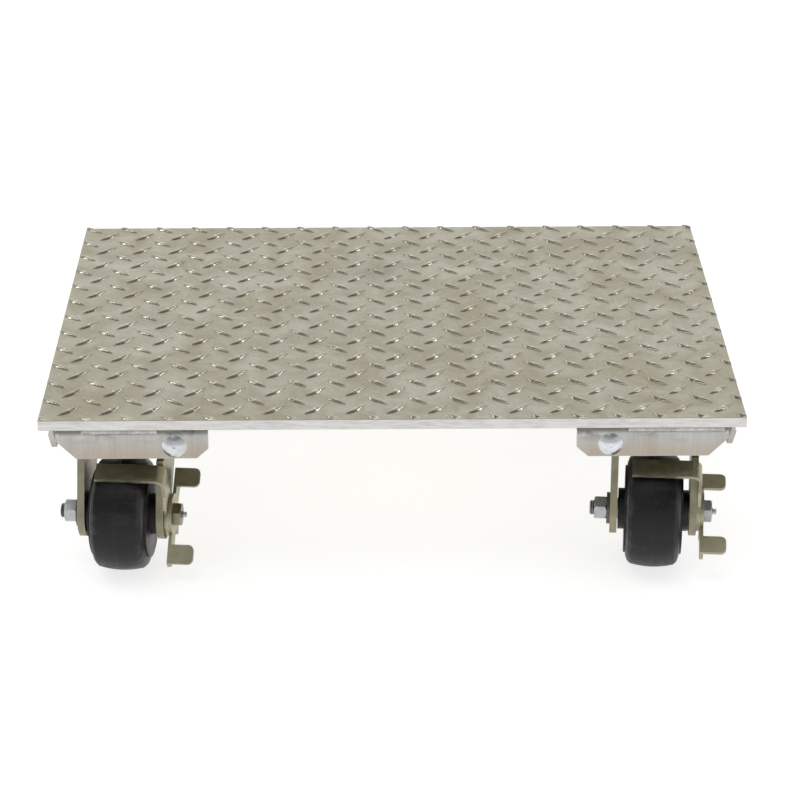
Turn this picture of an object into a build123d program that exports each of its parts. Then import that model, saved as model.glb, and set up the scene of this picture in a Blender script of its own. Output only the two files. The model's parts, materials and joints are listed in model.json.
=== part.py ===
from build123d import *
import math
import os

# Low platform truck: an aluminium tread-plate deck on four swivel casters.
# Millimetres, Z up, floor at Z = 0, X along the long side, front edge at -Y.

INCH = 25.4

# ---------------------------------------------------------------- driving sizes
deck_width = 24 * INCH
deck_depth = 18 * INCH
deck_thickness = 0.375 * INCH
bracket_thickness = 0.1875 * INCH
wheel_diameter = 4 * INCH
fork_gap = 2.5 * INCH
top_plate_size = 4 * INCH
top_plate_thickness = 0.25 * INCH

# ---------------------------------------------------------------- fits
running_fit = 0.10
thread_fit = 0.04
seat_gap = 0.05
slide_gap = 0.20
bolt_hole_room = 0.40

# ---------------------------------------------------------------- tread pattern
lug_pitch_x = 35.4
lug_pitch_y = 37.5
lug_length = 27.0
lug_half_width = 3.5
lug_height = 1.2
lug_draft = 20
lug_root = 0.5
first_lug_from_left = 25.4
first_lug_from_rear = 24.0

# ---------------------------------------------------------------- corner brackets
flange_setback = 1.5
flange_drop = 27.5
bracket_margin = 29.7
side_setback = 7.9
corner_slot = 1.8
bend_inner = 1.6
outer_chamfer_run = 17.0
outer_chamfer_rise = 17.0
side_tip_chamfer = 24.0
inner_chamfer_run = 10.0
inner_chamfer_rise = 9.0

# ---------------------------------------------------------------- weld beads
front_weld_start = 44.0
left_weld_end = 22.3
right_weld_end = 4.3
side_weld_start = 16.2
side_weld_end = 22.1
weld_radius = 3.1
weld_ripple = 0.35
weld_ripple_pitch = 3.2
weld_sink = 1.9
weld_inset = 2.2

# ---------------------------------------------------------------- caster placement
plate_edge_inset = 19.7
caster_yaw = -5.2
trail = 35.0

# ---------------------------------------------------------------- swivel
plate_hole_inset = 0.5 * INCH
plate_corner_radius = 8.0
swivel_height = 14.55
race_radius = 28.0
race_width = 16.0
race_gap = 2.4
ball_radius = 0.1875 * INCH
ball_spacing = 0.35
kingpin_radius = 0.25 * INCH
kingpin_head_radius = 11.5
kingpin_tail = 2.0
thrust_washer_thickness = 3.0
thrust_washer_radius = 20.0

# ---------------------------------------------------------------- fork
fork_thickness = 0.25 * INCH
crown_clearance = 14.05
fork_bend = 11.0
crown_back = 34.0
crown_front = 38.0
crown_plan_radius = 49.0
leg_end_radius = 22.0
brow_height = 16.0

# ---------------------------------------------------------------- wheel and axle
tread_edge_drop = 2.5
tread_round = 2.6
shoulder_drop = 9.8
web_drop = 12.1
hub_wall = 3.7
hub_end_play = 0.75
web_recess = 5.6
shoulder_recess = 1.8
tread_recess = 4.3
axle_radius = 0.25 * INCH
axle_head_height = 7.0
axle_nut_height = 11.0
axle_washer_thickness = 3.0
axle_washer_radius = 14.0
thread_showing = 4.0
bushing_wall = 0.125 * INCH
roller_radius = 0.09375 * INCH
roller_spacing = 0.7
roller_end_gap = 5.0
fitting_stem_radius = 2.0
fitting_stem_depth = 3.0
fitting_collar_radius = 3.3
fitting_collar_height = 1.2
fitting_neck_height = 1.2
fitting_tip_radius = 3.0
fitting_tip_height = 1.8

# ---------------------------------------------------------------- brake
brake_sheet = 3.0
strap_angle = 64.0
strap_front_trim = 6.0
strap_trim_start = 22.0
strap_trim_full = 34.0
strap_width = 24.0
strap_gap = 2.6
strap_overhang = 0.5
strap_bend = 8.5
shoe_eye_inset = 0.5
lever_hub_wall = 1.65
lever_travel = 20.0
pin_radius = 2.5
pin_beyond_axle = 8.0
pin_lead = 16.2
pin_slot_room = 0.25
pedal_width = 17.5
pedal_reach = 20.0
pedal_corner = 5.0
arm_breadth = 17.0
arm_tip_low = 5.1
arm_tip_high = 11.9
lock_pedal_angle = -27.0
lock_pedal_inset = 14.0
free_pedal_angle = 159.6
free_pedal_inset = 15.3
finger_angle = -105.0
finger_reach = 30.0
finger_half_width = 4.0

# ---------------------------------------------------------------- fasteners
bolt_radius = 0.1875 * INCH
small_hex_head = 6.2
hex_corner_ratio = 0.574
hex_chamfer_ratio = 0.07
thread_chamfer = 0.8
lock_washer_thickness = 2.4
lock_washer_radius = 8.6
lock_washer_split = 1.2
blind_hole_floor = 2.5
bolt_end_room = 0.8
carriage_from_end = 29.2
carriage_washer_room = 0.34
carriage_head_radius = 10.7
carriage_head_height = 4.9
carriage_neck_length = 3.7
carriage_bolt_length = 0.625 * INCH
flat_washer_thickness = 1.6
flat_washer_radius = 9.5
jam_nut_height = 5.6

# ---------------------------------------------------------------- derived heights
wheel_radius = wheel_diameter / 2
axle_z = wheel_radius
crown_bottom = wheel_diameter + crown_clearance
crown_top = crown_bottom + fork_thickness
plate_bottom = crown_top + swivel_height
caster_height = plate_bottom + top_plate_thickness
deck_underside = caster_height + bracket_thickness
deck_top = deck_underside + deck_thickness
race_middle = (crown_top + plate_bottom) / 2

# ---------------------------------------------------------------- derived places
caster_inset = top_plate_size / 2 + plate_edge_inset
caster_x = deck_width / 2 - caster_inset
caster_y = deck_depth / 2 - caster_inset
plate_hole_half = top_plate_size / 2 - plate_hole_inset

bend_outer = bend_inner + bracket_thickness
bracket_reach = top_plate_size + bracket_margin
front_face = deck_depth / 2 - flange_setback
side_face = deck_width / 2 - side_setback
flange_bottom = deck_underside - flange_drop
front_flange_end = side_face - bracket_thickness - corner_slot
bracket_inner_x = front_flange_end - bracket_reach
bracket_inner_y = front_face - bracket_reach
carriage_x = bracket_inner_x + carriage_from_end
carriage_z = deck_underside - bend_outer - flat_washer_radius - carriage_washer_room

# ---------------------------------------------------------------- derived hardware sizes
small_hex = 3 * bolt_radius
large_hex = 3 * axle_radius
blind_hole_depth = deck_thickness - blind_hole_floor
bolt_into_deck = blind_hole_depth - bolt_end_room
race_outer = race_radius + race_width / 2
race_inner = race_radius - race_width / 2
ball_count = int(math.pi / math.asin((ball_radius + ball_spacing) / race_radius))
fork_half = fork_gap / 2 + fork_thickness
bushing_radius = axle_radius + bushing_wall
roller_circle = bushing_radius + roller_radius + running_fit
roller_count = int(math.pi / math.asin((roller_radius + roller_spacing) / roller_circle))
wheel_bore = roller_circle + roller_radius + running_fit
hub_radius = wheel_bore + hub_wall
hub_half = fork_gap / 2 - hub_end_play
roller_length = 2 * (hub_half - roller_end_gap)
web_half = hub_half - web_recess
shoulder_half = web_half - shoulder_recess
tread_edge_half = shoulder_half - tread_recess

# ---------------------------------------------------------------- derived brake sizes
shoe_inner = fork_half + slide_gap
shoe_outer = shoe_inner + brake_sheet
lever_inner = shoe_outer + slide_gap
lever_outer = lever_inner + brake_sheet
pin_throw = axle_radius + pin_beyond_axle
lever_hub_radius = pin_throw + pin_radius + lever_hub_wall
shoe_eye_radius = lever_hub_radius - shoe_eye_inset
pin_start = math.radians(pin_lead)
pin_finish = math.radians(pin_lead + lever_travel)
lock_stroke = pin_throw * (math.cos(pin_start) - math.cos(pin_finish))
lock_pedal_centre = wheel_radius - lock_pedal_inset
free_pedal_centre = wheel_radius - free_pedal_inset

BASE = (Align.CENTER, Align.CENTER, Align.MIN)
CORNER = (Align.MIN, Align.MIN, Align.MIN)
STAND_ALONG_X = Rot(0, 0, 90) * Rot(90, 0, 0)
corners = [("front_left", -1, -1), ("front_right", 1, -1), ("rear_left", -1, 1), ("rear_right", 1, 1)]


def save(shape, name):
    export_step(shape, "parts/" + name + ".step")


def group(solids):
    return Compound(children=list(solids))


def tube(outer, inner, height):
    return Cylinder(outer, height, align=BASE) - Cylinder(inner, height, align=BASE)


def along_x(shape, x, y=0.0, z=0.0):
    """Lay a shape built up +Z so that it runs along +X from x."""
    return Pos(x, y, z) * Rot(0, 90, 0) * shape


def hex_prism(across_flats, height, chamfered_ends):
    """Hexagon standing on Z = 0 with its corners rounded off at the chosen ends."""
    prism = extrude(RegularPolygon(across_flats / 2, 6, major_radius=False), height)
    turned = Cylinder(across_flats * hex_corner_ratio, height, align=BASE)
    ends = turned.edges().filter_by(GeomType.CIRCLE).group_by(Axis.Z)
    rims = []
    for end in chamfered_ends:
        rims += ends[end]
    return prism & chamfer(rims, across_flats * hex_chamfer_ratio)


def nut(across_flats, bore, height):
    return hex_prism(across_flats, height, (0, -1)) - Cylinder(bore, height, align=BASE)


def slot_bar(half_length, radius, thickness):
    """Round-ended bar along X standing on Z = 0."""
    body = Box(2 * half_length, 2 * radius, thickness, align=BASE)
    for end in (-half_length, half_length):
        body += Pos(end, 0, 0) * Cylinder(radius, thickness, align=BASE)
    return body


def square_of(half):
    return [(across, along) for across in (-half, half) for along in (-half, half)]


def to_corner(shape, side, end):
    """Mirror a shape built in the +X +Y quarter into a corner."""
    if side < 0:
        shape = mirror(shape, about=Plane.YZ)
    if end < 0:
        shape = mirror(shape, about=Plane.XZ)
    return shape


def caster_bolt_places():
    places = []
    for name, side, end in corners:
        for across, along in square_of(plate_hole_half):
            places.append((side * caster_x + across, end * caster_y + along))
    return places


# ---------------------------------------------------------------- deck plate
def tread_lug():
    half = lug_length / 2
    edge = ThreePointArc((-half, 0), (0, -lug_half_width), (half, 0))
    edge += ThreePointArc((half, 0), (0, lug_half_width), (-half, 0))
    height = lug_height + lug_root
    lug = extrude(make_face(edge), amount=height, dir=(0, 0, 1), taper=lug_draft)
    return Pos(0, 0, deck_top - lug_root) * lug


def lug_places():
    """Centres and headings of the raised lugs: two staggered grids at right angles."""
    first_x = -deck_width / 2 + first_lug_from_left
    first_y = deck_depth / 2 - first_lug_from_rear
    columns = int(deck_width / lug_pitch_x) + 2
    rows = int(deck_depth / lug_pitch_y) + 2
    places = []
    for heading, shift in ((45, 0.0), (-45, -0.5)):
        for column in range(columns):
            for row in range(rows):
                x = first_x + (column + shift) * lug_pitch_x
                y = first_y - (row + shift) * lug_pitch_y
                places.append((x, y, heading))
    return places


def deck_plate():
    plate = Pos(0, 0, deck_underside) * Box(deck_width, deck_depth, deck_thickness, align=BASE)
    lug = tread_lug()
    limit_x = deck_width / 2 + lug_length / 4
    limit_y = deck_depth / 2 + lug_length / 4
    raised = []
    for x, y, heading in lug_places():
        if abs(x) < limit_x and abs(y) < limit_y:
            raised.append(Pos(x, y, 0) * Rot(0, 0, heading) * lug)
    trim = Box(deck_width, deck_depth, deck_thickness + 2 * lug_height, align=BASE)
    plate = plate.fuse(*raised) & Pos(0, 0, deck_underside) * trim
    drill = Cylinder(bolt_radius + thread_fit, blind_hole_depth, align=BASE)
    return plate - [Pos(x, y, deck_underside) * drill for x, y in caster_bolt_places()]


# ---------------------------------------------------------------- corner brackets
def bent_section(inner_end, face):
    """Web and flange joined by a round bend, drawn with the flange face at `face`."""
    web_low = deck_underside - bracket_thickness
    flange_back = face - bracket_thickness
    points = [
        (inner_end, deck_underside),
        (face, deck_underside),
        (face, flange_bottom),
        (flange_back, flange_bottom),
        (flange_back, web_low),
        (inner_end, web_low),
    ]
    section = make_face(Polyline(*points, close=True))
    section = fillet(section.vertices().sort_by_distance((face, deck_underside))[0], bend_outer)
    return fillet(section.vertices().sort_by_distance((flange_back, web_low))[0], bend_inner)


def corner_cut(tip, run, rise):
    """Triangle that takes the lower corner off a flange ending at `tip`; run is signed."""
    points = [(tip, flange_bottom), (tip + run, flange_bottom), (tip, flange_bottom + rise)]
    return extrude(make_face(Polyline(*points, close=True)), 2 * bracket_thickness, both=True)


def corner_bracket():
    """Bent tray for the +X +Y corner."""
    front = extrude(bent_section(bracket_inner_y, front_face), bracket_reach, dir=(0, 0, 1))
    front = Pos(bracket_inner_x, 0, 0) * STAND_ALONG_X * front
    side_tip = front_face - seat_gap
    side = extrude(bent_section(bracket_inner_x, side_face), side_tip - bracket_inner_y, dir=(0, 0, 1))
    side = Pos(0, side_tip, 0) * Rot(90, 0, 0) * side
    side_bend_start = side_face - bend_outer
    relief = Box(side_bend_start - bracket_inner_x, bend_outer, flange_drop, align=CORNER)
    side -= Pos(bracket_inner_x, front_face - bend_outer, flange_bottom) * relief
    slot_length = bend_outer + corner_slot
    slot = Box(corner_slot, slot_length, flange_drop, align=CORNER)
    body = front + side - Pos(front_flange_end, front_face - slot_length, flange_bottom) * slot

    on_front = Pos(0, front_face, 0) * Rot(90, 0, 0)
    body -= on_front * corner_cut(front_flange_end, -outer_chamfer_run, outer_chamfer_rise)
    body -= on_front * corner_cut(bracket_inner_x, inner_chamfer_run, inner_chamfer_rise)
    on_side = Pos(side_face, 0, 0) * STAND_ALONG_X
    body -= on_side * corner_cut(side_tip, -side_tip_chamfer, side_tip_chamfer)
    body -= on_side * corner_cut(bracket_inner_y, inner_chamfer_run, inner_chamfer_rise)

    tapped = Cylinder(bolt_radius + thread_fit, 4 * bracket_thickness)
    for across, along in square_of(plate_hole_half):
        body -= Pos(caster_x + across, caster_y + along, deck_underside) * tapped
    square_side = 2 * (bolt_radius + running_fit)
    square_hole = Box(square_side, 4 * bracket_thickness, square_side)
    return body - Pos(carriage_x, front_face, carriage_z) * square_hole


# ---------------------------------------------------------------- welds
def weld_bead(length):
    """A rippled bead centred on the Z axis, standing on Z = 0."""
    ripples = int(length / weld_ripple_pitch)
    pitch = length / ripples
    edge = Line((0, 0), (weld_radius, 0))
    for index in range(ripples):
        crest = (weld_radius + weld_ripple, (index + 0.5) * pitch)
        edge += ThreePointArc((weld_radius, index * pitch), crest, (weld_radius, (index + 1) * pitch))
    edge += Line((weld_radius, length), (0, length))
    edge += Line((0, length), (0, 0))
    return Rot(90, 0, 0) * revolve(make_face(edge), axis=Axis.Y)


def corner_welds(front_end_gap, bracket):
    """Front and side beads of the +X +Y corner, fitted to the bracket and the deck underside."""
    seat = deck_underside - weld_sink
    front = weld_bead(bracket_reach - front_weld_start - front_end_gap)
    front = along_x(front, bracket_inner_x + front_weld_start, front_face - weld_inset, seat)
    side = Rot(90, 0, 0) * weld_bead(bracket_reach - side_weld_start - side_weld_end)
    side = Pos(side_face - weld_inset, front_face - side_weld_end, seat) * side
    above = Pos(0, 0, deck_underside) * Box(2 * deck_width, 2 * deck_depth, deck_thickness, align=BASE)
    beads = []
    for bead in (front, side):
        fitted = bead - above - bracket
        beads.append(fitted.solids().sort_by(SortBy.VOLUME)[-1])
    return beads


# ---------------------------------------------------------------- bolts and nuts
def carriage_bolt():
    """Axis on Z: domed head above Z = 0, square neck and shank below."""
    sphere_radius = (carriage_head_radius**2 + carriage_head_height**2) / (2 * carriage_head_height)
    dome = Pos(0, 0, carriage_head_height - sphere_radius) * Sphere(sphere_radius)
    dome &= Cylinder(sphere_radius, sphere_radius, align=BASE)
    neck_side = 2 * bolt_radius
    neck = Pos(0, 0, -carriage_neck_length) * Box(neck_side, neck_side, carriage_neck_length, align=BASE)
    shank = Pos(0, 0, -carriage_bolt_length) * Cylinder(bolt_radius, carriage_bolt_length, align=BASE)
    return dome + neck + chamfer(shank.edges().group_by(Axis.Z)[0], thread_chamfer)


def carriage_set():
    """Bolt, washer and jam nut through the front flange of the +X +Y corner."""
    facing_out = Rot(-90, 0, 0)
    washer_seat = front_face - bracket_thickness - flat_washer_thickness
    washer = tube(flat_washer_radius, bolt_radius + running_fit, flat_washer_thickness)
    jam = nut(small_hex, bolt_radius + thread_fit, jam_nut_height)
    return (
        Pos(carriage_x, front_face, carriage_z) * facing_out * carriage_bolt(),
        Pos(carriage_x, washer_seat, carriage_z) * facing_out * washer,
        Pos(carriage_x, washer_seat - jam_nut_height, carriage_z) * facing_out * jam,
    )


def caster_bolt():
    """Hex bolt pointing up; the seat of its head is at Z = 0."""
    length = lock_washer_thickness + top_plate_thickness + bracket_thickness + bolt_into_deck
    head = Pos(0, 0, -small_hex_head) * hex_prism(small_hex, small_hex_head, (0,))
    shank = Cylinder(bolt_radius, length, align=BASE)
    return head + chamfer(shank.edges().group_by(Axis.Z)[-1], thread_chamfer)


def lock_washer():
    """Split ring standing on Z = 0."""
    ring = tube(lock_washer_radius, bolt_radius + running_fit, lock_washer_thickness)
    split = Box(lock_washer_radius, lock_washer_split, 2 * lock_washer_thickness)
    return ring - Pos(lock_washer_radius / 2 + bolt_radius, 0, 0) * split


# ---------------------------------------------------------------- swivel pieces
# Each caster is drawn with its kingpin on the Z axis and its axle trailing to -Y.
def race_groove():
    return Pos(0, 0, race_middle) * Torus(race_radius, ball_radius + running_fit)


def top_plate():
    plate = Box(top_plate_size, top_plate_size, top_plate_thickness, align=BASE)
    plate = Pos(0, 0, plate_bottom) * fillet(plate.edges().filter_by(Axis.Z), plate_corner_radius)
    race_low = race_middle + race_gap / 2
    race = tube(race_outer, race_inner, plate_bottom - race_low)
    plate = plate + Pos(0, 0, race_low) * race - race_groove()
    pin_hole = Cylinder(kingpin_radius + seat_gap, top_plate_thickness, align=BASE)
    sink = kingpin_head_radius - kingpin_radius
    countersink_room = 2 * seat_gap
    countersink = Cone(
        kingpin_radius + countersink_room, kingpin_head_radius + countersink_room, sink, align=BASE
    )
    plate -= Pos(0, 0, plate_bottom) * pin_hole
    plate -= Pos(0, 0, caster_height - sink) * countersink
    drill = Cylinder(bolt_radius + bolt_hole_room, 3 * top_plate_thickness)
    for across, along in square_of(plate_hole_half):
        plate -= Pos(across, along, plate_bottom) * drill
    return plate


def kingpin():
    low = crown_bottom - thrust_washer_thickness - axle_nut_height - kingpin_tail
    shank = Pos(0, 0, low) * Cylinder(kingpin_radius, caster_height - low, align=BASE)
    shank = chamfer(shank.edges().group_by(Axis.Z)[0], thread_chamfer)
    sink = kingpin_head_radius - kingpin_radius
    head = Cone(kingpin_radius, kingpin_head_radius, sink, align=BASE)
    return shank + Pos(0, 0, caster_height - sink) * head


def thrust_washer():
    ring = tube(thrust_washer_radius, kingpin_radius + running_fit, thrust_washer_thickness)
    return Pos(0, 0, crown_bottom - seat_gap - thrust_washer_thickness) * ring


def kingpin_nut():
    low = crown_bottom - seat_gap - thrust_washer_thickness - axle_nut_height
    return Pos(0, 0, low) * nut(large_hex, kingpin_radius + thread_fit, axle_nut_height)


def swivel_balls():
    ball = Pos(race_radius, 0, race_middle) * Sphere(ball_radius)
    return group(Rot(0, 0, index * 360 / ball_count) * ball for index in range(ball_count))


def fork():
    """Two legs and a crown bent from one strip, with the lower half of the ball race."""
    edge_low = (Align.CENTER, Align.MIN)
    outside = Rectangle(2 * fork_half, crown_top, align=edge_low)
    outside = fillet(outside.vertices().group_by(Axis.Y)[-1], fork_bend)
    inside = Rectangle(fork_gap, crown_bottom, align=edge_low)
    inside = fillet(inside.vertices().group_by(Axis.Y)[-1], fork_bend - fork_thickness)
    channel = Rot(90, 0, 0) * extrude(outside - inside, top_plate_size, both=True)

    brow = crown_top - brow_height
    leg_end = Pos(-trail, axle_z) * Circle(leg_end_radius)
    crown_side = Polyline(
        (-crown_front, crown_top), (crown_back, crown_top), (crown_back, brow), (-crown_front, crown_top)
    )
    profile = make_hull(leg_end.edges() + crown_side.edges())
    body = channel & STAND_ALONG_X * extrude(profile, 2 * fork_half, both=True)
    crown_plan = Pos(0, 0, axle_z) * Cylinder(crown_plan_radius, crown_top, align=BASE)
    leg_room = Box(3 * fork_half, 2 * leg_end_radius, brow, align=BASE)
    body &= crown_plan + Pos(0, -trail, 0) * leg_room

    race = tube(race_outer, race_inner, race_middle - race_gap / 2 - crown_top)
    body = body + Pos(0, 0, crown_top) * race - race_groove()
    body -= Pos(0, 0, crown_bottom) * Cylinder(kingpin_radius + running_fit, 3 * fork_thickness)
    axle_hole = Cylinder(axle_radius + running_fit, 3 * fork_half)
    return body - Pos(0, -trail, axle_z) * Rot(0, 90, 0) * axle_hole


# ---------------------------------------------------------------- wheel and axle
def wheel():
    edge_radius = wheel_radius - tread_edge_drop
    outline = Polyline(
        (0, wheel_radius),
        (0, wheel_bore),
        (hub_half, wheel_bore),
        (hub_half, hub_radius),
        (web_half, hub_radius),
        (web_half, wheel_radius - web_drop),
        (shoulder_half, wheel_radius - web_drop),
        (shoulder_half, wheel_radius - shoulder_drop),
        (tread_edge_half + tread_round, edge_radius - tread_round),
        (tread_edge_half, edge_radius),
    )
    crown_middle = (tread_edge_half / 2, wheel_radius - tread_edge_drop / 4)
    outline += ThreePointArc((tread_edge_half, edge_radius), crown_middle, (0, wheel_radius))
    half = revolve(make_face(outline), axis=Axis.X)
    return Pos(0, -trail, axle_z) * (half + mirror(half, about=Plane.YZ))


def spanner_bushing():
    length = fork_gap - 2 * seat_gap
    return along_x(tube(bushing_radius, axle_radius + running_fit, length), -length / 2, -trail, axle_z)


def bearing_rollers():
    roller = Pos(roller_circle, 0, 0) * Cylinder(roller_radius, roller_length)
    turned = [Rot(0, 0, index * 360 / roller_count) * roller for index in range(roller_count)]
    return group(along_x(one, 0, -trail, axle_z) for one in turned)


def axle_bolt(head_seat):
    """Hex bolt along X with the underside of its head at `head_seat` on the +X side."""
    tail = fork_half + axle_washer_thickness + axle_nut_height + thread_showing
    length = tail + head_seat
    shank = Cylinder(axle_radius, length, align=BASE)
    body = chamfer(shank.edges().group_by(Axis.Z)[0], thread_chamfer)
    body += Pos(0, 0, length) * hex_prism(large_hex, axle_head_height, (-1,))
    socket = Cylinder(fitting_stem_radius + thread_fit, fitting_stem_depth, align=BASE)
    body -= Pos(0, 0, length + axle_head_height - fitting_stem_depth) * socket
    return along_x(body, -tail, -trail, axle_z)


def grease_fitting(head_seat):
    """Nipple screwed into the end of the axle head."""
    collar_low = fitting_stem_depth
    neck_low = collar_low + fitting_collar_height
    tip_low = neck_low + fitting_neck_height
    body = Cylinder(fitting_stem_radius, tip_low, align=BASE)
    body += Pos(0, 0, collar_low) * Cylinder(fitting_collar_radius, fitting_collar_height, align=BASE)
    tip = Cone(fitting_tip_radius, fitting_stem_radius, fitting_tip_height, align=BASE)
    body += Pos(0, 0, tip_low) * tip
    return along_x(body, head_seat + axle_head_height - fitting_stem_depth, -trail, axle_z)


def axle_washer():
    ring = tube(axle_washer_radius, axle_radius + running_fit, axle_washer_thickness)
    return along_x(ring, -fork_half - axle_washer_thickness, -trail, axle_z)


def axle_nut():
    body = nut(large_hex, axle_radius + thread_fit, axle_nut_height)
    return along_x(body, -fork_half - axle_washer_thickness - axle_nut_height, -trail, axle_z)


# ---------------------------------------------------------------- brake
def brake_shoe(pushed):
    """Strap over the tread and an arm down to a slotted eye on the axle.

    Drawn with the axle on X and the arm straight up, `pushed` towards the tread, then leaned forward.
    """
    inner = wheel_radius + strap_gap
    outer = inner + brake_sheet
    strap_tip = -tread_edge_half - strap_overhang
    points = [
        (strap_tip, outer),
        (shoe_outer, outer),
        (shoe_outer, 0),
        (shoe_inner, 0),
        (shoe_inner, inner),
        (strap_tip, inner),
    ]
    section = make_face(Polyline(*points, close=True))
    section = fillet(section.vertices().sort_by_distance((shoe_outer, outer))[0], strap_bend)
    section = fillet(section.vertices().sort_by_distance((shoe_inner, inner))[0], strap_bend - brake_sheet)
    body = Rot(90, 0, 0) * extrude(section, strap_width / 2, both=True)
    front_edge = -strap_width / 2
    trimmed_edge = front_edge + strap_front_trim
    trim_points = [
        (front_edge, strap_trim_start),
        (trimmed_edge, strap_trim_full),
        (trimmed_edge, outer),
        (front_edge, outer),
    ]
    trim = make_face(Polyline(*trim_points, close=True))
    body -= STAND_ALONG_X * extrude(trim, 2 * shoe_outer, both=True)
    body += along_x(Cylinder(shoe_eye_radius, brake_sheet, align=BASE), shoe_inner)

    through = 3 * brake_sheet
    eye = slot_bar(lock_stroke / 2 + running_fit, axle_radius + running_fit, through)
    body -= along_x(eye, shoe_inner - brake_sheet, 0, lock_stroke / 2)
    start = pin_throw * math.sin(pin_start)
    finish = pin_throw * math.sin(pin_finish)
    pin_slot = slot_bar((finish - start) / 2 + running_fit, pin_radius + pin_slot_room, through)
    pin_slot = along_x(Rot(0, 0, 90) * pin_slot, shoe_inner - brake_sheet)
    body -= Pos(0, -(start + finish) / 2, pin_throw * math.cos(pin_start)) * pin_slot
    return Pos(0, -trail, axle_z) * Rot(90 - strap_angle, 0, 0) * Pos(0, 0, -pushed) * body


def lever_arm(angle, centre, trailing):
    """Arm and pedal pointing at `angle`; the arm lies on the `trailing` side (+1 or -1) of its pedal."""
    end = centre + pedal_width / 2
    half_sheet = brake_sheet / 2
    points = [
        (0, -trailing * half_sheet),
        (end, -trailing * half_sheet),
        (end + half_sheet, trailing * arm_tip_low),
        (end - half_sheet, trailing * arm_tip_high),
        (end - arm_breadth / 2, trailing * arm_breadth),
        (0, trailing * arm_breadth),
    ]
    arm = extrude(make_face(Polyline(*points, close=True)), brake_sheet, dir=(0, 0, 1))
    pedal = Box(pedal_width, brake_sheet, pedal_reach + brake_sheet, align=BASE)
    pedal = fillet(pedal.edges().filter_by(Axis.Y).group_by(Axis.Z)[-1], pedal_corner)
    pedal = Pos(centre, 0, brake_sheet) * Rot(180, 0, 0) * pedal
    return Rot(0, 0, angle) * (arm + pedal)


def brake_lever(turned):
    """Rocker on the axle: a locking pedal in front, a release pedal behind, and the shoe's pin.

    Drawn off, flat with X forward, Y up and its outer face at Z = 0; then `turned` towards on and stood up.
    """
    body = Cylinder(lever_hub_radius, brake_sheet, align=BASE)
    body += lever_arm(lock_pedal_angle, lock_pedal_centre, -1)
    body += lever_arm(free_pedal_angle, free_pedal_centre, 1)
    finger = Pos(finger_reach / 2, 0, 0) * slot_bar(finger_reach / 2, finger_half_width, brake_sheet)
    body += Rot(0, 0, finger_angle) * finger
    pin = Cylinder(pin_radius, lever_outer - shoe_inner, align=BASE)
    body += Rot(0, 0, strap_angle - pin_lead) * Pos(pin_throw, 0, 0) * pin
    body -= Cylinder(axle_radius + running_fit, 3 * brake_sheet)
    upright = Plane(origin=(lever_outer, -trail, axle_z), x_dir=(0, -1, 0), z_dir=(-1, 0, 0))
    return upright.location * Rot(0, 0, -turned) * body


# ---------------------------------------------------------------- build
def under_corner(shape, side, end):
    """Move a caster piece that stays square to the deck under its corner."""
    return Pos(side * caster_x, end * caster_y, 0) * shape


def swung_to_corner(shape, side, end):
    """Move a piece that swivels under its corner, trailing outward from the deck's middle."""
    heading = caster_yaw if end < 0 else caster_yaw + 180
    return Pos(side * caster_x, end * caster_y, 0) * Rot(0, 0, heading) * shape


os.makedirs("parts", exist_ok=True)

save(deck_plate(), "deck_plate")

bracket = corner_bracket()
carriage_bolt_shape, carriage_washer_shape, carriage_nut_shape = carriage_set()
for name, side, end in corners:
    save(to_corner(bracket, side, end), "bracket_" + name)
save(group(to_corner(carriage_bolt_shape, side, end) for name, side, end in corners), "carriage_bolts")
save(group(to_corner(carriage_washer_shape, side, end) for name, side, end in corners), "carriage_washers")
save(group(to_corner(carriage_nut_shape, side, end) for name, side, end in corners), "carriage_nuts")

welds = []
for name, side, end in corners:
    for bead in corner_welds(left_weld_end if side < 0 else right_weld_end, bracket):
        welds.append(to_corner(bead, side, end))
save(group(welds), "weld_beads")

washer_low = plate_bottom - lock_washer_thickness
bolt_shape = caster_bolt()
washer_shape = lock_washer()
save(group(Pos(x, y, washer_low) * bolt_shape for x, y in caster_bolt_places()), "caster_bolts")
save(group(Pos(x, y, washer_low) * washer_shape for x, y in caster_bolt_places()), "lock_washers")

kingpin_shape = kingpin()
thrust_washer_shape = thrust_washer()
kingpin_nut_shape = kingpin_nut()
save(group(under_corner(kingpin_shape, side, end) for name, side, end in corners), "kingpins")
save(group(under_corner(thrust_washer_shape, side, end) for name, side, end in corners), "thrust_washers")
save(group(under_corner(kingpin_nut_shape, side, end) for name, side, end in corners), "kingpin_nuts")

square_pieces = {"top_plate_": top_plate(), "swivel_balls_": swivel_balls()}
swung_pieces = {
    "fork_": fork(),
    "wheel_": wheel(),
    "spanner_bushing_": spanner_bushing(),
    "bearing_rollers_": bearing_rollers(),
    "axle_washer_": axle_washer(),
    "axle_nut_": axle_nut(),
}
braked_pieces = {
    "axle_bolt_": axle_bolt(lever_outer + slide_gap),
    "grease_fitting_": grease_fitting(lever_outer + slide_gap),
}
brake_on = {"brake_shoe_": brake_shoe(lock_stroke), "brake_lever_": brake_lever(lever_travel)}
brake_off = {"brake_shoe_": brake_shoe(0), "brake_lever_": brake_lever(0)}
plain_pieces = {
    "axle_bolt_": axle_bolt(fork_half + seat_gap),
    "grease_fitting_": grease_fitting(fork_half + seat_gap),
}
for name, side, end in corners:
    for prefix, shape in square_pieces.items():
        save(under_corner(shape, side, end), prefix + name)
    for prefix, shape in swung_pieces.items():
        save(swung_to_corner(shape, side, end), prefix + name)
    for prefix, shape in (braked_pieces if end < 0 else plain_pieces).items():
        save(swung_to_corner(shape, side, end), prefix + name)
for name, side, end in corners[:2]:
    for prefix, shape in (brake_on if side < 0 else brake_off).items():
        save(swung_to_corner(shape, side, end), prefix + name)
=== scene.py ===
import bpy
import bmesh
import json
import math
import random
from mathutils import Matrix, Vector


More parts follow.
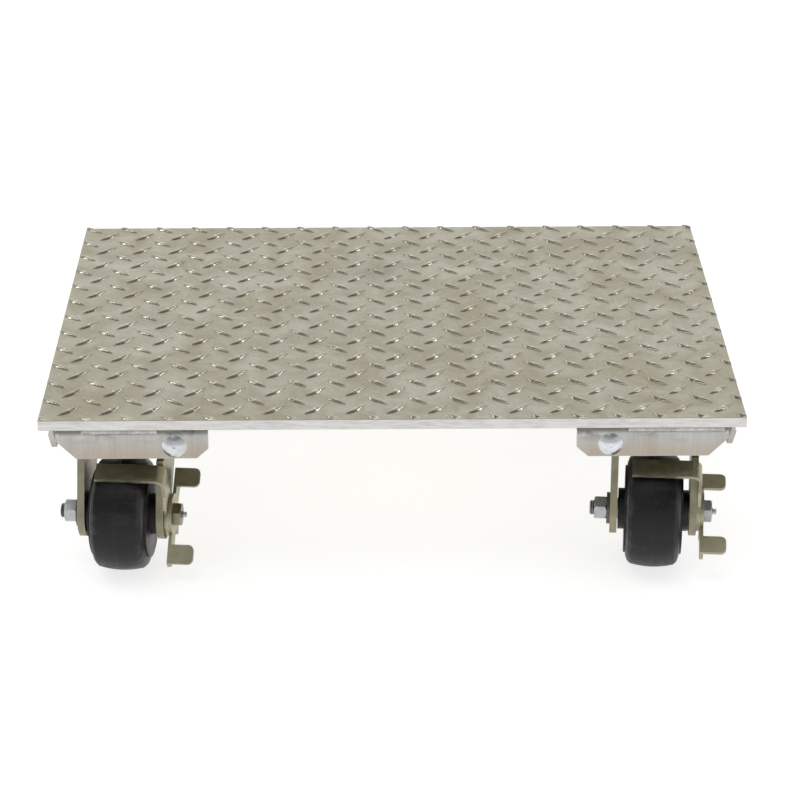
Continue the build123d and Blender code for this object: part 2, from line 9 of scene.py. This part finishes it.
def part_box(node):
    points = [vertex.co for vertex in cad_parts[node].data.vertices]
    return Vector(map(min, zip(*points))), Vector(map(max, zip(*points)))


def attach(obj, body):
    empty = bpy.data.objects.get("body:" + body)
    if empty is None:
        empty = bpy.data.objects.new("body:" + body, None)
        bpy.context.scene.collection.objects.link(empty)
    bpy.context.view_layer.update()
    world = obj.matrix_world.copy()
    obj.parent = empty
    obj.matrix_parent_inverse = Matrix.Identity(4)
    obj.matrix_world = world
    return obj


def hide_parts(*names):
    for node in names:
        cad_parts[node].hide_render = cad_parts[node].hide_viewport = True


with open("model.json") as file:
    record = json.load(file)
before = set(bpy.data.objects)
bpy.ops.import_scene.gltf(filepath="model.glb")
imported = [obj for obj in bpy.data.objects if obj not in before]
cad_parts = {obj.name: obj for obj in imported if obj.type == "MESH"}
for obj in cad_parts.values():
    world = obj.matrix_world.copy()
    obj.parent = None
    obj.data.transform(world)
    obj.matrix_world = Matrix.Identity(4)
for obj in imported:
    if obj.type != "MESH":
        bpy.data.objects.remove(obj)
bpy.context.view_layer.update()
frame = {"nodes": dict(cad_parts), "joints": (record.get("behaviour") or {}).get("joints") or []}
random.seed(7)
MM = 0.001

# surroundings
ROOM_TONE = (0.22, 0.22, 0.225)
WALL_TONE = (0.97, 0.97, 0.965)
SIDE_WALLS = 0.55  # brightness of the side and near walls against the far one
FLOOR_REACH = 8.0
FLOOR_GLOW = 0.78
FLOOR_SHADE = 0.62
SUN_ANGLE = 42
SUN_STRENGTH = 0.55
SUN_LEAN = (-0.20, -0.12, 1.0)
STRIP_WIDTH = 0.14
STRIP_RADIANCE = 6.0
STRIP_FAR_END = (0.89, 1.83, 2.20)
STRIP_NEAR_END = (2.25, 0.47, 1.93)
STRIP_AIM = (0, 0, 0.15)

# camera
CAMERA_PLACE = (-0.01665, -2.34862, 1.15210)
CAMERA_YAW_PITCH_ROLL = (-0.622, 24.736, -0.045)
CAMERA_LENS = 122.77
SENSOR_WIDTH = 36.0
FAR_CLIP = 50.0


# ---------------------------------------------------------------- node helpers
class Nodes:
    """Small wrapper that adds shader nodes and links them."""

    def __init__(self, name):
        self.material = bpy.data.materials.new(name)
        self.material.use_nodes = True
        self.tree = self.material.node_tree
        self.tree.nodes.clear()
        self.out = self.tree.nodes.new("ShaderNodeOutputMaterial")
        self.shader = self.tree.nodes.new("ShaderNodeBsdfPrincipled")
        self.link(self.shader.outputs[0], self.out.inputs[0])
        self.place = self.add("ShaderNodeTexCoord").outputs["Object"]
        self.normal = self.add("ShaderNodeNewGeometry").outputs["Normal"]

    def add(self, kind, **settings):
        node = self.tree.nodes.new(kind)
        for key, value in settings.items():
            setattr(node, key, value)
        return node

    def link(self, a, b):
        self.tree.links.new(a, b)

    def put(self, value, socket):
        if hasattr(value, "is_linked") or hasattr(value, "links"):
            self.link(value, socket)
        else:
            socket.default_value = value

    def stretch(self, scale, shift=(0, 0, 0)):
        node = self.add("ShaderNodeMapping")
        node.inputs["Scale"].default_value = scale
        node.inputs["Location"].default_value = shift
        self.link(self.place, node.inputs["Vector"])
        return node.outputs[0]

    def noise(self, scale, detail=4.0, rough=0.55, vector=None, distortion=0.0):
        node = self.add("ShaderNodeTexNoise")
        node.inputs["Scale"].default_value = scale
        node.inputs["Detail"].default_value = detail
        node.inputs["Roughness"].default_value = rough
        node.inputs["Distortion"].default_value = distortion
        self.link(vector or self.place, node.inputs["Vector"])
        return node.outputs["Fac"]

    def span(self, value, low, high, to_low=0.0, to_high=1.0):
        node = self.add("ShaderNodeMapRange")
        node.clamp = True
        self.put(value, node.inputs["Value"])
        node.inputs["From Min"].default_value = low
        node.inputs["From Max"].default_value = high
        node.inputs["To Min"].default_value = to_low
        node.inputs["To Max"].default_value = to_high
        return node.outputs["Result"]

    def math(self, operation, a, b=0.0, clamp=False):
        node = self.add("ShaderNodeMath", operation=operation, use_clamp=clamp)
        self.put(a, node.inputs[0])
        self.put(b, node.inputs[1])
        return node.outputs[0]

    def mix(self, factor, a, b, blend="MIX"):
        node = self.add("ShaderNodeMix", data_type="RGBA", blend_type=blend)
        self.put(factor, node.inputs[0])
        self.put(a if not isinstance(a, tuple) else (*a, 1.0), node.inputs[6])
        self.put(b if not isinstance(b, tuple) else (*b, 1.0), node.inputs[7])
        return node.outputs[2]

    def axes(self, vector):
        node = self.add("ShaderNodeSeparateXYZ")
        self.link(vector, node.inputs[0])
        return node.outputs

    def bump(self, height, strength, distance, under=None):
        node = self.add("ShaderNodeBump")
        node.inputs["Strength"].default_value = strength
        node.inputs["Distance"].default_value = distance
        self.link(height, node.inputs["Height"])
        if under:
            self.link(under, node.inputs["Normal"])
        return node.outputs[0]

    def edges(self, radius):
        """1 on worn edges, 0 on flats."""
        rounded = self.add("ShaderNodeBevel", samples=4)
        rounded.inputs["Radius"].default_value = radius
        dot = self.add("ShaderNodeVectorMath", operation="DOT_PRODUCT")
        self.link(rounded.outputs[0], dot.inputs[0])
        self.link(self.normal, dot.inputs[1])
        return self.span(dot.outputs["Value"], 0.995, 0.80)

    def finish(self, color, rough, metallic=1.0, normal=None, **uniform):
        self.put(color, self.shader.inputs["Base Color"])
        self.put(rough, self.shader.inputs["Roughness"])
        self.shader.inputs["Metallic"].default_value = metallic
        if normal:
            self.link(normal, self.shader.inputs["Normal"])
        for key, value in uniform.items():
            self.shader.inputs[key.replace("_", " ")].default_value = value
        return self.material


# ---------------------------------------------------------------- materials
deck_low, deck_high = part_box("deck_plate")
LUG_HEIGHT = 1.2 * MM
plate_top = deck_high.z - LUG_HEIGHT


def tread_mill():
    """Mill-finish aluminium: tan and grey stains, fine rolling grain, a painted highlight across each lug
    crest, painted shade at each lug's foot, sawn edges.
    """
    n = Nodes("tread_mill")
    blotch = n.noise(21.0, 7.0, 0.68, distortion=0.8)
    patch = n.noise(31.0, 4.0, 0.6, n.stretch((1, 1, 1), (3.1, 1.7, 0)))
    speck = n.noise(420.0, 3.0, 0.6)
    color = n.mix(n.span(blotch, 0.36, 0.62), (0.475, 0.430, 0.305), (0.580, 0.560, 0.460))
    color = n.mix(n.span(patch, 0.50, 0.72, 0.0, 0.55), color, (0.405, 0.350, 0.245))
    color = n.mix(n.span(speck, 0.48, 0.75, 0.0, 0.22), color, (0.46, 0.44, 0.39))
    dark_spot = n.span(n.noise(14.0, 2.0, 0.5, n.stretch((1, 1, 1), (7.7, 4.2, 0))), 0.66, 0.78, 0.0, 0.5)
    color = n.mix(dark_spot, color, (0.36, 0.35, 0.32))
    height = n.axes(n.place)[2]
    foot = n.span(height, plate_top + 0.70 * MM, plate_top + 0.10 * MM)
    raised = n.span(height, plate_top + 0.02 * MM, plate_top + 0.06 * MM)
    # painted shade: a darker ring where each lug rises from the plate
    foot_shade = n.math("MULTIPLY", n.math("MULTIPLY", foot, raised), 0.45)
    color = n.mix(foot_shade, color, (0.25, 0.235, 0.20))
    color = n.mix(n.math("MULTIPLY", raised, 0.30), color, (0.36, 0.325, 0.245))
    # painted highlight: a lighter band across the middle of each lug crest, standing in for a lamp's
    # glint
    crest_glint = n.add("ShaderNodeAttribute", attribute_name="rub_and_glint").outputs["Fac"]
    crest_glint = n.span(crest_glint, 0.15, 0.75)
    color = n.mix(n.math("MULTIPLY", crest_glint, 0.8), color, (0.88, 0.87, 0.84))
    upright = n.axes(n.normal)[2]
    side_face = n.span(n.math("ABSOLUTE", upright), 0.35, 0.1)
    sawn = n.math("MULTIPLY", side_face, n.span(height, plate_top + 0.1 * MM, plate_top - 0.1 * MM))
    scuff = n.span(n.noise(60.0, 6.0, 0.7, n.stretch((1.0, 1.0, 9.0))), 0.42, 0.70)
    sawn_color = n.mix(scuff, (0.68, 0.675, 0.66), (0.50, 0.49, 0.475))
    color = n.mix(sawn, color, sawn_color)
    rough = n.span(blotch, 0.3, 0.7, 0.40, 0.30)
    rough = n.math("ADD", rough, n.span(speck, 0.4, 0.8, -0.03, 0.10))
    rough = n.math("SUBTRACT", rough, n.math("MULTIPLY", raised, 0.13))
    rolling = n.noise(700.0, 2.0, 0.5, n.stretch((0.06, 1.0, 1.0)))
    lines = n.noise(900.0, 2.0, 0.5, n.stretch((1.0, 1.0, 0.08)))
    wave = n.noise(26.0, 2.0, 0.4)
    normal = n.bump(wave, 0.35, 0.0012)
    normal = n.bump(rolling, 0.10, 0.0002, normal)
    normal = n.bump(lines, 0.06, 0.0002, normal)
    return n.finish(color, rough, 1.0, normal)


def brushed_aluminium(name="brushed_flange", low=0.0, high=1.0):
    """Brushed sheet: vertical grain, tan tint low on the flange, smoky heat marks at the top."""
    n = Nodes(name)
    height = n.axes(n.place)[2]
    drop = n.span(height, high, low)
    grain = n.noise(520.0, 4.0, 0.6, n.stretch((1.0, 1.0, 0.035)))
    broad = n.noise(38.0, 4.0, 0.6, n.stretch((1.0, 1.0, 0.35)))
    cloud = n.noise(26.0, 4.0, 0.62, n.stretch((1.0, 1.0, 2.2), (2.0, 5.0, 0)), 0.8)
    color = n.mix(n.span(broad, 0.35, 0.7), (0.53, 0.525, 0.505), (0.43, 0.42, 0.40))
    tint = n.math("MULTIPLY", n.span(drop, 0.35, 0.85), n.span(broad, 0.25, 0.7, 0.45, 1.0))
    color = n.mix(n.math("MULTIPLY", tint, 0.85), color, (0.43, 0.36, 0.275))
    heat = n.math("MULTIPLY", n.span(drop, 0.55, 0.10), n.span(cloud, 0.50, 0.62))
    color = n.mix(n.math("MULTIPLY", heat, 0.85), color, (0.19, 0.185, 0.172))
    color = n.mix(n.span(grain, 0.35, 0.70, 0.0, 0.16), color, (0.30, 0.285, 0.26))
    worn = n.edges(0.7 * MM)
    color = n.mix(n.math("MULTIPLY", worn, 0.5), color, (0.70, 0.69, 0.67))
    rough = n.span(grain, 0.3, 0.7, 0.30, 0.44)
    normal = n.bump(grain, 0.16, 0.0003)
    return n.finish(color, rough, 1.0, normal)


def weld_metal():
    """As-welded aluminium: dull, spotted and slightly rough."""
    n = Nodes("weld_metal")
    spots = n.noise(160.0, 5.0, 0.65)
    color = n.mix(n.span(spots, 0.35, 0.7), (0.60, 0.595, 0.58), (0.36, 0.35, 0.335))
    rough = n.span(spots, 0.3, 0.7, 0.34, 0.55)
    normal = n.bump(spots, 0.30, 0.0008)
    return n.finish(color, rough, 1.0, normal)


def zinc_yellow(name, shade=1.0):
    """Zinc plate with a yellow-olive chromate: cloudy hue, rubbed edges, fine scratches."""
    n = Nodes(name)
    cloud = n.noise(42.0, 4.0, 0.6, distortion=0.5)
    fine = n.noise(260.0, 4.0, 0.62)
    scratch = n.noise(360.0, 3.0, 0.6, n.stretch((0.12, 1.0, 1.0)))
    olive = (0.250 * shade, 0.235 * shade, 0.162 * shade)
    straw = (0.330 * shade, 0.300 * shade, 0.200 * shade)
    grey = (0.32 * shade, 0.317 * shade, 0.275 * shade)
    color = n.mix(n.span(cloud, 0.38, 0.60), olive, straw)
    color = n.mix(n.span(fine, 0.45, 0.75, 0.0, 0.6), color, grey)
    iris = n.span(n.noise(70.0, 3.0, 0.5, n.stretch((1, 1, 1), (4, 4, 4))), 0.56, 0.70, 0.0, 0.35)
    color = n.mix(iris, color, (0.26 * shade, 0.19 * shade, 0.125 * shade))
    worn = n.edges(0.6 * MM)
    color = n.mix(n.math("MULTIPLY", worn, 0.75), color, (0.56, 0.55, 0.48))
    rough = n.span(fine, 0.35, 0.7, 0.34, 0.54)
    normal = n.bump(scratch, 0.10, 0.0003)
    normal = n.bump(fine, 0.10, 0.0004, normal)
    return n.finish(color, rough, 1.0, normal)


def zinc_bright(name="zinc_bright", shade=1.0):
    """Clear zinc plate: bluish silver, slightly mottled."""
    n = Nodes(name)
    cloud = n.noise(120.0, 4.0, 0.6)
    fine = n.noise(600.0, 3.0, 0.6)
    bright = (0.74 * shade, 0.76 * shade, 0.79 * shade)
    dull = (0.60 * shade, 0.62 * shade, 0.64 * shade)
    color = n.mix(n.span(cloud, 0.35, 0.65), bright, dull)
    color = n.mix(n.span(fine, 0.5, 0.75, 0.0, 0.35), color, (0.45, 0.45, 0.44))
    worn = n.edges(0.4 * MM)
    color = n.mix(n.math("MULTIPLY", worn, 0.4), color, (0.86, 0.87, 0.88))
    rough = n.span(cloud, 0.3, 0.7, 0.20, 0.34)
    normal = n.bump(fine, 0.12, 0.0003)
    return n.finish(color, rough, 1.0, normal)


def dark_steel():
    """Plain dark steel, cloudy."""
    n = Nodes("dark_steel")
    cloud = n.noise(150.0, 4.0, 0.6)
    color = n.mix(n.span(cloud, 0.35, 0.65), (0.11, 0.105, 0.10), (0.20, 0.19, 0.175))
    rough = n.span(cloud, 0.3, 0.7, 0.40, 0.60)
    return n.finish(color, rough, 0.9, n.bump(cloud, 0.15, 0.0004))


def bearing_steel():
    """Hardened steel under a thin film of grease."""
    n = Nodes("bearing_steel")
    film = n.noise(90.0, 4.0, 0.6)
    color = n.mix(n.span(film, 0.4, 0.65), (0.58, 0.58, 0.58), (0.34, 0.29, 0.20))
    rough = n.span(film, 0.3, 0.7, 0.16, 0.36)
    return n.finish(color, rough, 1.0, n.bump(film, 0.05, 0.0003))


def along_axle(n, corner):
    """Distance along a caster's axle from the middle of its wheel."""
    joint = next(j for j in frame["joints"] if j["name"] == "wheel_spin_" + corner)
    axis = Vector(joint["axis"]).normalized()
    middle = Vector(joint["pos_m"])
    dot = n.add("ShaderNodeVectorMath", operation="DOT_PRODUCT")
    n.link(n.place, dot.inputs[0])
    dot.inputs[1].default_value = axis
    return n.math("SUBTRACT", dot.outputs["Value"], middle.dot(axis))


def moulded_black(corner):
    """Hard black moulding: a parting line round the tread, dusty scuffs, rubbed shoulders."""
    n = Nodes("moulded_black_" + corner)
    across = n.math("ABSOLUTE", along_axle(n, corner))
    cloud = n.noise(30.0, 4.0, 0.6)
    dust = n.noise(210.0, 5.0, 0.68)
    rub_and_glint = n.noise(70.0, 4.0, 0.62, n.stretch((0.35, 1.0, 1.0)))
    smear = n.noise(16.0, 3.0, 0.6, n.stretch((0.5, 1.0, 1.0), (9, 2, 5)))
    color = n.mix(n.span(cloud, 0.35, 0.68), (0.0040, 0.0036, 0.0042), (0.0080, 0.0072, 0.0080))
    color = n.mix(n.span(dust, 0.52, 0.80, 0.0, 0.45), color, (0.036, 0.034, 0.034))
    color = n.mix(n.span(rub_and_glint, 0.54, 0.74, 0.0, 0.55), color, (0.044, 0.041, 0.044))
    shoulder = n.math("MULTIPLY", n.span(across, 16.5 * MM, 19.0 * MM), n.span(rub_and_glint, 0.42, 0.60))
    color = n.mix(n.math("MULTIPLY", shoulder, 0.5), color, (0.050, 0.047, 0.048))
    line = n.span(across, 0.9 * MM, 0.3 * MM)
    color = n.mix(n.math("MULTIPLY", line, 0.3), color, (0.022, 0.020, 0.022))
    rough = n.span(cloud, 0.3, 0.7, 0.40, 0.52)
    rough = n.math("ADD", rough, n.span(dust, 0.45, 0.75, -0.05, 0.12))
    rough = n.math("SUBTRACT", rough, n.span(smear, 0.52, 0.68, 0.0, 0.16))
    normal = n.bump(line, 0.35, 0.0006)
    normal = n.bump(dust, 0.18, 0.0004, normal)
    normal = n.bump(rub_and_glint, 0.12, 0.0004, normal)
    return n.finish(color, rough, 0.0, normal, Specular_IOR_Level=0.34)


THREAD_PITCH = 2.0 * MM
THREAD_START = -36.0 * MM


def threaded_zinc(corner):
    """Zinc on an axle bolt, its thread drawn as relief past the nut, with painted shade in the grooves.
    The front left one is yellower.
    """
    n = Nodes("threaded_zinc_" + corner)
    along = along_axle(n, corner)
    cloud = n.noise(120.0, 4.0, 0.6)
    fine = n.noise(500.0, 3.0, 0.6)
    bright, dull = (0.50, 0.51, 0.52), (0.38, 0.39, 0.395)
    if corner == "front_left":
        bright, dull = (0.27, 0.25, 0.17), (0.20, 0.185, 0.125)
    color = n.mix(n.span(cloud, 0.35, 0.65), bright, dull)
    color = n.mix(n.span(fine, 0.5, 0.75, 0.0, 0.4), color, (0.24, 0.235, 0.21))
    tail = n.span(along, THREAD_START, THREAD_START - 1.0 * MM)
    wave = n.math("SINE", n.math("MULTIPLY", along, 2 * math.pi / THREAD_PITCH))
    # painted shade: the thread grooves are darkened
    groove_shade = n.math("MULTIPLY", tail, n.span(wave, 0.2, -0.8))
    color = n.mix(n.math("MULTIPLY", groove_shade, 0.8), color, (0.07, 0.066, 0.055))
    worn = n.edges(0.4 * MM)
    color = n.mix(n.math("MULTIPLY", worn, 0.4), color, (0.66, 0.66, 0.64))
    rough = n.span(cloud, 0.3, 0.7, 0.26, 0.40)
    normal = n.bump(n.math("MULTIPLY", tail, wave), 0.9, 0.0006)
    normal = n.bump(fine, 0.12, 0.0003, normal)
    return n.finish(color, rough, 1.0, normal)


def pale_floor():
    """Pale matt floor that also glows softly, so it stays near white under a dim ceiling."""
    n = Nodes("pale_floor")
    tone = n.noise(2.5, 3.0, 0.5)
    color = n.mix(n.span(tone, 0.3, 0.7), (0.93, 0.93, 0.93), (0.955, 0.955, 0.955))
    n.link(color, n.shader.inputs["Emission Color"])
    color = n.mix(1.0, color, (FLOOR_SHADE,) * 3, "MULTIPLY")
    normal = n.bump(n.noise(260.0), 0.02, 0.0005)
    return n.finish(color, 0.65, 0.0, normal, Specular_IOR_Level=0.1, Emission_Strength=FLOOR_GLOW)


flange_low, flange_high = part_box("bracket_front_left")
looks = {
    "tread": tread_mill(),
    "bracket_": brushed_aluminium("brushed_flange", flange_low.z, flange_high.z),
    "weld_beads": weld_metal(),
    "zinc": zinc_bright(),
    # painted shade: nuts, grease fittings, kingpin and thrust washers get a copy of the bright zinc at
    # 0.62 of its brightness
    "zinc_shaded": zinc_bright("zinc_shaded", 0.62),
    "yellow": zinc_yellow("zinc_yellow"),
    # painted light: the brake shoe gets a copy of the chromate 1.45 times lighter, standing in for light
    # its flat face doesn't catch
    "shoe": zinc_yellow("zinc_yellow_shoe", 1.45),
    # painted light: the brake lever gets a copy of the chromate 1.30 times lighter
    "lever_lit": zinc_yellow("zinc_yellow_lever_lit", 1.30),
    "dark": dark_steel(),
    "bearing": bearing_steel(),
}


def dress(obj, material):
    obj.data.materials.clear()
    obj.data.materials.append(material)


def look_for(node):
    if node.startswith("bracket_"):
        return looks["bracket_"]
    if node == "weld_beads":
        return looks["weld_beads"]
    if node.startswith("brake_shoe_"):
        return looks["shoe"]
    if node.startswith("brake_lever_"):
        return looks["lever_lit"]
    if node.startswith(("fork_", "top_plate_")):
        return looks["yellow"]
    if node.startswith(("swivel_balls_", "bearing_rollers_", "spanner_bushing_")):
        return looks["bearing"]
    if node.startswith(("axle_nut_", "grease_fitting_", "kingpin", "thrust_washers")):
        return looks["zinc_shaded"]
    if node.startswith("axle_bolt_"):
        return threaded_zinc(node[len("axle_bolt_"):])
    if node.startswith("axle_washer_"):
        return looks["dark"]
    if node.startswith("wheel_"):
        return moulded_black(node[len("wheel_"):])
    if node == "deck_plate":
        return looks["tread"]
    return looks["zinc"]


for node, obj in frame["nodes"].items():
    dress(obj, look_for(node))


# ---------------------------------------------------------------- tread deck
LUG_PITCH_X = 35.4 * MM
LUG_PITCH_Y = 37.5 * MM
LUG_LENGTH = 27.0 * MM
LUG_HALF_WIDTH = 3.6 * MM
FIRST_FROM_LEFT = 25.4 * MM
FIRST_FROM_REAR = 24.0 * MM
LUG_COLUMNS = 19
LUG_ROWS = 14
LUG_SWAY = 0.5 * MM
LUG_SINK = 0.02 * MM
LUG_TIP_HALF_WIDTH = 0.02 * MM
LUG_TOP_SHARE = 0.985
LUG_JITTER = 0.03
GLINT_SHARE = 0.12
SAWN_INSET = 0.25 * MM
PLATE_BEVEL = 0.45 * MM


def lug_mesh():
    """One raised lug: a lens in plan with a slight S in its spine, arched along and across."""
    around = [-1.0, -0.94, -0.82, -0.66, -0.46, -0.24, 0.0, 0.24, 0.46, 0.66, 0.82, 0.94, 1.0]
    steps = 24
    half = LUG_LENGTH / 2
    points, faces = [], []
    for i in range(steps + 1):
        u = -math.cos(math.pi * i / steps)
        width = LUG_HALF_WIDTH * max(0.0, 1.0 - u * u) + LUG_TIP_HALF_WIDTH
        spine = LUG_SWAY * math.sin(math.pi * u)
        crest = LUG_HEIGHT * LUG_TOP_SHARE * max(0.0, 1.0 - abs(u) ** 4.0) ** 0.8
        # mask for the painted highlight, highest at the middle of the lug's length
        crest_glint = max(0.0, 1.0 - abs(u) / GLINT_SHARE)
        for v in around:
            rise = max(0.0, 1.0 - abs(v) ** 2.7) ** 0.9
            points.append((u * half, spine + v * width, crest * rise - LUG_SINK, crest_glint))
    row = len(around)
    for i in range(steps):
        for j in range(row - 1):
            a = i * row + j
            faces.append((a, a + row, a + row + 1, a + 1))
    return points, faces


def raised_lugs(low, high):
    """All the lugs in one mesh, sawn off flush with the deck's four sides."""
    bm = bmesh.new()
    # per-vertex mask of the painted highlight on the lug crests
    rub_and_glint = bm.verts.layers.float.new("rub_and_glint")
    points, faces = lug_mesh()
    reach = LUG_LENGTH / 2
    for heading, shift in ((45, 0.0), (-45, -0.5)):
        turn = Matrix.Rotation(math.radians(heading), 4, "Z")
        for column in range(LUG_COLUMNS):
            for row in range(LUG_ROWS):
                x = low.x + FIRST_FROM_LEFT + (column + shift) * LUG_PITCH_X
                y = high.y - FIRST_FROM_REAR - (row + shift) * LUG_PITCH_Y
                if abs(x) > high.x + reach / 2 or abs(y) > high.y + reach / 2:
                    continue
                jitter = 1.0 + random.uniform(-LUG_JITTER, LUG_JITTER)
                # how strongly this lug gets the painted highlight
                glint_strength = random.uniform(0.35, 1.0)
                verts = []
                for px, py, pz, crest_glint in points:
                    spot = turn @ Vector((px * jitter, py, pz))
                    vert = bm.verts.new((x + spot.x, y + spot.y, plate_top + spot.z))
                    vert[rub_and_glint] = crest_glint * glint_strength
                    verts.append(vert)
                for face in faces:
                    bm.faces.new([verts[k] for k in face])
    for axis, sign in ((0, 1), (0, -1), (1, 1), (1, -1)):
        normal = Vector((0, 0, 0))
        normal[axis] = sign
        edge = Vector((0, 0, 0))
        edge[axis] = high[axis] - SAWN_INSET if sign > 0 else low[axis] + SAWN_INSET
        geom = list(bm.verts) + list(bm.edges) + list(bm.faces)
        cut = bmesh.ops.bisect_plane(bm, geom=geom, plane_co=edge, plane_no=normal, clear_outer=True)
        rim = [g for g in cut["geom_cut"] if isinstance(g, bmesh.types.BMEdge)]
        for chain in chains(rim):
            around = in_order(chain)
            if len(around) > 2:
                close_cut(bm, around, normal)
    mesh = bpy.data.meshes.new("lugs")
    bm.to_mesh(mesh)
    bm.free()
    return mesh


def in_order(chain):
    """The points of one sawn rim, walked from end to end."""
    meets = {}
    for edge in chain:
        for vert in edge.verts:
            meets.setdefault(vert, []).append(edge)
    walk = [next((vert for vert, edges in meets.items() if len(edges) == 1), next(iter(meets)))]
    while True:
        beyond = (edge.other_vert(walk[-1]) for edge in meets[walk[-1]])
        step = next((vert for vert in beyond if vert not in walk), None)
        if step is None:
            return walk
        walk.append(step)


def close_cut(bm, around, outward):
    """Fill a sawn lug end with one flat face that looks outward."""
    face = bm.faces.new(around)
    face.normal_update()
    if face.normal.dot(outward) < 0:
        face.normal_flip()


def tread_deck():
    """The deck plate with finer lugs, in place of the CAD one."""
    bm = bmesh.new()
    low, high = deck_low, Vector((deck_high.x, deck_high.y, plate_top))
    bmesh.ops.create_cube(bm, size=1.0)
    for vert in bm.verts:
        for axis in range(3):
            vert.co[axis] = low[axis] if vert.co[axis] < 0 else high[axis]
    bmesh.ops.bevel(bm, geom=list(bm.edges), offset=PLATE_BEVEL, segments=2, profile=0.5, affect="EDGES")
    bm.verts.layers.float.new("rub_and_glint")
    bm.from_mesh(raised_lugs(low, high))
    mesh = bpy.data.meshes.new("tread_deck")
    bm.normal_update()
    bm.to_mesh(mesh)
    bm.free()
    for polygon in mesh.polygons:
        polygon.use_smooth = polygon.center.z > plate_top + 0.005 * MM and abs(polygon.normal.z) > 0.1
    obj = bpy.data.objects.new("tread_deck", mesh)
    bpy.context.scene.collection.objects.link(obj)
    dress(obj, looks["tread"])
    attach(obj, "frame")
    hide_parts("deck_plate")
    return obj


def chains(edges):
    """Split edges into connected runs, in the same order every time."""
    left = list(edges)
    runs = []
    while left:
        run = [left.pop(0)]
        reached = set(run[0].verts)
        grow = True
        while grow:
            grow = False
            for edge in list(left):
                if reached.intersection(edge.verts):
                    run.append(edge)
                    reached.update(edge.verts)
                    left.remove(edge)
                    grow = True
        runs.append(run)
    return runs


tread_deck()


# ---------------------------------------------------------------- stage, light, camera
floor_mesh = bpy.data.meshes.new("floor")
floor_corners = [(x * FLOOR_REACH, y * FLOOR_REACH, 0) for x, y in ((-1, -1), (1, -1), (1, 1), (-1, 1))]
floor_mesh.from_pydata(floor_corners, [], [(0, 1, 2, 3)])
floor = bpy.data.objects.new("floor", floor_mesh)
bpy.context.scene.collection.objects.link(floor)
dress(floor, pale_floor())


def studio_world():
    """A dim ceiling over pale walls, brightest behind the truck."""
    world = bpy.data.worlds.new("studio")
    bpy.context.scene.world = world
    world.use_nodes = True
    tree = world.node_tree
    tree.nodes.clear()

    def add(kind, **settings):
        node = tree.nodes.new(kind)
        for key, value in settings.items():
            setattr(node, key, value)
        return node

    def span(value, low, high):
        node = add("ShaderNodeMapRange", clamp=True, interpolation_type="SMOOTHSTEP")
        tree.links.new(value, node.inputs["Value"])
        node.inputs["From Min"].default_value = low
        node.inputs["From Max"].default_value = high
        return node.outputs["Result"]

    split = add("ShaderNodeSeparateXYZ")
    tree.links.new(add("ShaderNodeTexCoord").outputs["Generated"], split.inputs[0])
    nearer = add("ShaderNodeMath", operation="MULTIPLY_ADD")
    tree.links.new(span(split.outputs[1], 0.10, 0.80), nearer.inputs[0])
    nearer.inputs[1].default_value = 1.0 - SIDE_WALLS
    nearer.inputs[2].default_value = SIDE_WALLS
    wall = add("ShaderNodeMath", operation="MULTIPLY")
    tree.links.new(nearer.outputs[0], wall.inputs[0])
    tree.links.new(span(split.outputs[2], 0.70, 0.40), wall.inputs[1])
    tone = add("ShaderNodeMix", data_type="RGBA")
    tone.inputs[6].default_value = (*ROOM_TONE, 1)
    tone.inputs[7].default_value = (*WALL_TONE, 1)
    tree.links.new(wall.outputs[0], tone.inputs[0])
    back = add("ShaderNodeBackground")
    tree.links.new(tone.outputs[2], back.inputs[0])
    tree.links.new(back.outputs[0], add("ShaderNodeOutputWorld").inputs[0])


def overhead_light(angle, strength, lean):
    """One very broad lamp above, so the floor is evenly lit and shadows stay soft."""
    data = bpy.data.lights.new("overhead", "SUN")
    data.angle = math.radians(angle)
    data.energy = strength
    lamp = bpy.data.objects.new("overhead", data)
    lamp.rotation_euler = (-Vector(lean)).to_track_quat("-Z", "Y").to_euler()
    bpy.context.scene.collection.objects.link(lamp)


def strip_light(name, start, end, width, radiance):
    """A long narrow lamp from start to end, facing the truck, for the glints across the lugs."""
    start, end = Vector(start), Vector(end)
    centre = (start + end) / 2
    along = (end - start).normalized()
    facing = (centre - Vector(STRIP_AIM)).normalized()
    across = facing.cross(along).normalized()
    data = bpy.data.lights.new(name, "AREA")
    data.shape = "RECTANGLE"
    data.size, data.size_y = (end - start).length, width
    data.energy = radiance * math.pi * data.size * width
    lamp = bpy.data.objects.new(name, data)
    turn = Matrix((along, across, along.cross(across))).transposed().to_4x4()
    lamp.matrix_world = Matrix.Translation(centre) @ turn
    bpy.context.scene.collection.objects.link(lamp)


studio_world()
overhead_light(SUN_ANGLE, SUN_STRENGTH, SUN_LEAN)
for name, side in (("left_strip", -1), ("right_strip", 1)):
    far_end, near_end = ((side * x, y, z) for x, y, z in (STRIP_FAR_END, STRIP_NEAR_END))
    strip_light(name, far_end, near_end, STRIP_WIDTH, STRIP_RADIANCE)


def photo_camera():
    """Looking down 24.7 degrees and almost square on."""
    yaw, pitch, roll = (math.radians(a) for a in CAMERA_YAW_PITCH_ROLL)
    level = math.cos(pitch)
    ahead = Vector((-math.sin(yaw) * level, math.cos(yaw) * level, -math.sin(pitch)))
    right = Vector((math.cos(yaw), math.sin(yaw), 0))
    up = right.cross(ahead)
    cos, sin = math.cos(roll), math.sin(roll)
    right, up = right * cos + up * sin, up * cos - right * sin
    data = bpy.data.cameras.new("camera")
    data.sensor_width = SENSOR_WIDTH
    data.lens = CAMERA_LENS
    data.clip_end = FAR_CLIP
    camera = bpy.data.objects.new("camera", data)
    turn = Matrix((right, up, -ahead)).transposed().to_4x4()
    camera.matrix_world = Matrix.Translation(CAMERA_PLACE) @ turn
    bpy.context.scene.collection.objects.link(camera)
    bpy.context.scene.camera = camera


photo_camera()
view = bpy.context.scene.view_settings
view.view_transform = "Standard"
view.look = "None"
view.exposure = 0.0
